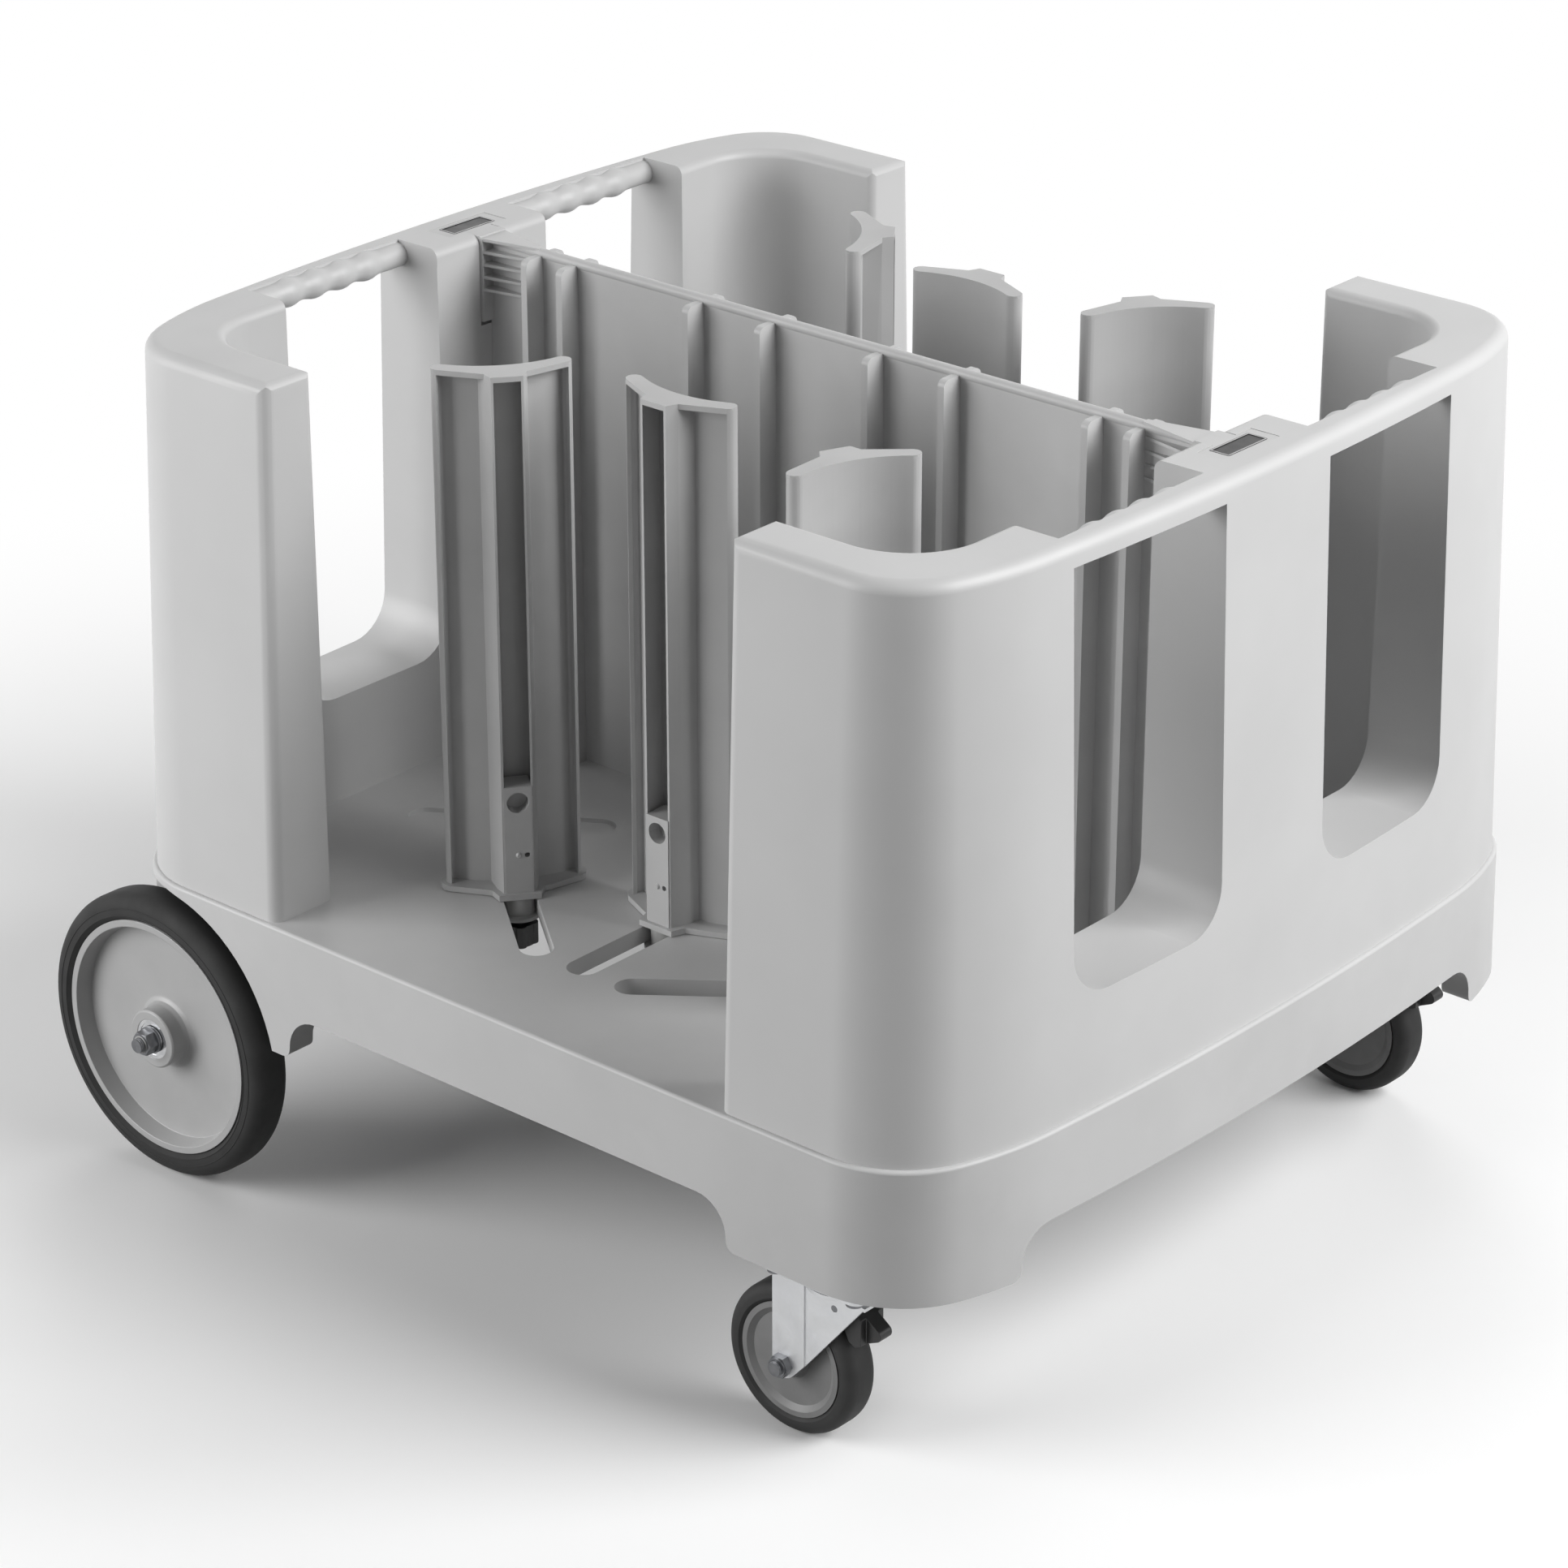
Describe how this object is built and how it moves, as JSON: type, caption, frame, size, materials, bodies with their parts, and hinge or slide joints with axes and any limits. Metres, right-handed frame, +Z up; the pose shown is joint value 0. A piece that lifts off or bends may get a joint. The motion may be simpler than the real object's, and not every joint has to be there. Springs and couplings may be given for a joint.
{
  "type": "plate dispenser cart",
  "caption": "Low moulded plate cart: deck on large rear wheels and swivel casters, windowed end walls with grips, centre divider and sliding, turning towers.",
  "frame": {"origin": "on the floor, under the middle of the whole cart's length and width", "axes": "+X along the cart towards the end with the swivel casters, +Y across it to the left side, +Z up"},
  "size_m": [0.9686, 0.8866, 0.73],
  "materials": {
    "shell": "plain light grey moulded polyethylene with a smooth satin skin",
    "tower_grey": "plain grey injection-moulded plastic, satin",
    "bush_grey": "grey moulded nylon, satin",
    "wheel_grey": "grey moulded nylon wheel centre, satin",
    "tyre": "black moulded rubber tyre, matt",
    "caster_tread": "dark grey thermoplastic rubber tread, matt",
    "black_plastic": "black moulded nylon, satin",
    "badge": "bare dark plate with a raised border, semi-gloss",
    "zinc_sheet": "pressed steel sheet with bright zinc plating",
    "zinc_fastener": "turned steel with bright zinc plating",
    "bearing_steel": "ground bearing rings with a steel shield"
  },
  "bodies": {
    "cart": {"base_deck": "shell", "end_wall_rear": "shell", "end_wall_front": "shell", "wall_bolts": "zinc_fastener", "centre_divider": "shell", "badge_plate_rear": "badge", "badge_plate_front": "badge", "axle": "zinc_fastener", "axle_brackets": "zinc_sheet", "bracket_bolts": "zinc_fastener", "axle_spacers": "zinc_fastener", "axle_washers": "zinc_fastener", "axle_nuts": "zinc_fastener", "caster_plates": "zinc_sheet", "caster_bolts": "zinc_fastener", "kingpins": "zinc_fastener"},
    "wheel_right": {"wheel_disc_right": "wheel_grey", "wheel_tyre_right": "tyre", "wheel_bearings_right": "bearing_steel"},
    "wheel_left": {"wheel_disc_left": "wheel_grey", "wheel_tyre_left": "tyre", "wheel_bearings_left": "bearing_steel"},
    "caster_right": {"caster_fork_right": "zinc_sheet", "caster_bolt_right": "zinc_fastener", "caster_nut_right": "zinc_fastener"},
    "caster_wheel_right": {"caster_disc_right": "wheel_grey", "caster_tyre_right": "caster_tread"},
    "pedal_right": {"brake_pedal_right": "black_plastic"},
    "caster_left": {"caster_fork_left": "zinc_sheet", "caster_bolt_left": "zinc_fastener", "caster_nut_left": "zinc_fastener"},
    "caster_wheel_left": {"caster_disc_left": "wheel_grey", "caster_tyre_left": "caster_tread"},
    "pedal_left": {"brake_pedal_left": "black_plastic"},
    "bush_1": {"slot_bush_1": "bush_grey"},
    "tower_1": {"tower_1": "tower_grey", "tower_stud_1": "zinc_fastener"},
    "knob_1": {"clamp_knob_1": "black_plastic"},
    "bush_2": {"slot_bush_2": "bush_grey"},
    "tower_2": {"tower_2": "tower_grey", "tower_stud_2": "zinc_fastener"},
    "knob_2": {"clamp_knob_2": "black_plastic"},
    "bush_3": {"slot_bush_3": "bush_grey"},
    "tower_3": {"tower_3": "tower_grey", "tower_stud_3": "zinc_fastener"},
    "knob_3": {"clamp_knob_3": "black_plastic"},
    "bush_4": {"slot_bush_4": "bush_grey"},
    "tower_4": {"tower_4": "tower_grey", "tower_stud_4": "zinc_fastener"},
    "knob_4": {"clamp_knob_4": "black_plastic"},
    "bush_5": {"slot_bush_5": "bush_grey"},
    "tower_5": {"tower_5": "tower_grey", "tower_stud_5": "zinc_fastener"},
    "knob_5": {"clamp_knob_5": "black_plastic"},
    "bush_6": {"slot_bush_6": "bush_grey"},
    "tower_6": {"tower_6": "tower_grey", "tower_stud_6": "zinc_fastener"},
    "knob_6": {"clamp_knob_6": "black_plastic"}
  },
  "joints": [
    {"name": "wheel_spin_right", "type": "hinge", "parent": "cart", "child": "wheel_right", "pos_m": [-0.35728, -0.405, 0.127], "axis": [0, 1, 0], "continuous": true},
    {"name": "wheel_spin_left", "type": "hinge", "parent": "cart", "child": "wheel_left", "pos_m": [-0.35728, 0.405, 0.127], "axis": [0, 1, 0], "continuous": true},
    {"name": "caster_swivel_right", "type": "hinge", "parent": "cart", "child": "caster_right", "pos_m": [0.35173, -0.37, 0.142], "axis": [0, 0, 1], "continuous": true},
    {"name": "caster_spin_right", "type": "hinge", "parent": "caster_right", "child": "caster_wheel_right", "pos_m": [0.31372, -0.37, 0.0635], "axis": [0, 1, 0], "continuous": true},
    {"name": "brake_right", "type": "hinge", "parent": "caster_right", "child": "pedal_right", "pos_m": [0.36373, -0.37, 0.131], "axis": [0, 1, 0], "range_deg": [0, 12]},
    {"name": "caster_swivel_left", "type": "hinge", "parent": "cart", "child": "caster_left", "pos_m": [0.35173, 0.37, 0.142], "axis": [0, 0, 1], "continuous": true},
    {"name": "caster_spin_left", "type": "hinge", "parent": "caster_left", "child": "caster_wheel_left", "pos_m": [0.31372, 0.37, 0.0635], "axis": [0, 1, 0], "continuous": true},
    {"name": "brake_left", "type": "hinge", "parent": "caster_left", "child": "pedal_left", "pos_m": [0.36373, 0.37, 0.131], "axis": [0, 1, 0], "range_deg": [0, 12]},
    {"name": "tower_slide_1", "type": "slide", "parent": "cart", "child": "bush_1", "axis": [-0.788, 0.6157, 0], "range_m": [-0.102, 0.086]},
    {"name": "tower_turn_1", "type": "hinge", "parent": "bush_1", "child": "tower_1", "pos_m": [-0.11144, -0.23459, 0.271], "axis": [0, 0, 1], "continuous": true},
    {"name": "knob_turn_1", "type": "hinge", "parent": "tower_1", "child": "knob_1", "pos_m": [-0.11144, -0.23459, 0.24], "axis": [0, 0, 1], "continuous": true},
    {"name": "tower_slide_2", "type": "slide", "parent": "cart", "child": "bush_2", "axis": [0, -1, 0], "range_m": [-0.07, 0.098]},
    {"name": "tower_turn_2", "type": "hinge", "parent": "bush_2", "child": "tower_2", "pos_m": [0.02173, -0.199, 0.271], "axis": [0, 0, 1], "continuous": true},
    {"name": "knob_turn_2", "type": "hinge", "parent": "tower_2", "child": "knob_2", "pos_m": [0.02173, -0.199, 0.24], "axis": [0, 0, 1], "continuous": true},
    {"name": "tower_slide_3", "type": "slide", "parent": "cart", "child": "bush_3", "axis": [0.788, 0.6157, 0], "range_m": [-0.162, 0.026]},
    {"name": "tower_turn_3", "type": "hinge", "parent": "bush_3", "child": "tower_3", "pos_m": [0.20217, -0.19765, 0.271], "axis": [0, 0, 1], "continuous": true},
    {"name": "knob_turn_3", "type": "hinge", "parent": "tower_3", "child": "knob_3", "pos_m": [0.20217, -0.19765, 0.24], "axis": [0, 0, 1], "continuous": true},
    {"name": "tower_slide_4", "type": "slide", "parent": "cart", "child": "bush_4", "axis": [-0.788, -0.6157, 0], "range_m": [-0.107, 0.081]},
    {"name": "tower_turn_4", "type": "hinge", "parent": "bush_4", "child": "tower_4", "pos_m": [-0.11538, 0.23151, 0.271], "axis": [0, 0, 1], "continuous": true},
    {"name": "knob_turn_4", "type": "hinge", "parent": "tower_4", "child": "knob_4", "pos_m": [-0.11538, 0.23151, 0.24], "axis": [0, 0, 1], "continuous": true},
    {"name": "tower_slide_5", "type": "slide", "parent": "cart", "child": "bush_5", "axis": [0, 1, 0], "range_m": [-0.07, 0.098]},
    {"name": "tower_turn_5", "type": "hinge", "parent": "bush_5", "child": "tower_5", "pos_m": [0.02173, 0.199, 0.271], "axis": [0, 0, 1], "continuous": true},
    {"name": "knob_turn_5", "type": "hinge", "parent": "tower_5", "child": "knob_5", "pos_m": [0.02173, 0.199, 0.24], "axis": [0, 0, 1], "continuous": true},
    {"name": "tower_slide_6", "type": "slide", "parent": "cart", "child": "bush_6", "axis": [0.788, -0.6157, 0], "range_m": [-0.107, 0.081]},
    {"name": "tower_turn_6", "type": "hinge", "parent": "bush_6", "child": "tower_6", "pos_m": [0.15883, 0.23151, 0.271], "axis": [0, 0, 1], "continuous": true},
    {"name": "knob_turn_6", "type": "hinge", "parent": "tower_6", "child": "knob_6", "pos_m": [0.15883, 0.23151, 0.24], "axis": [0, 0, 1], "continuous": true}
  ]
}
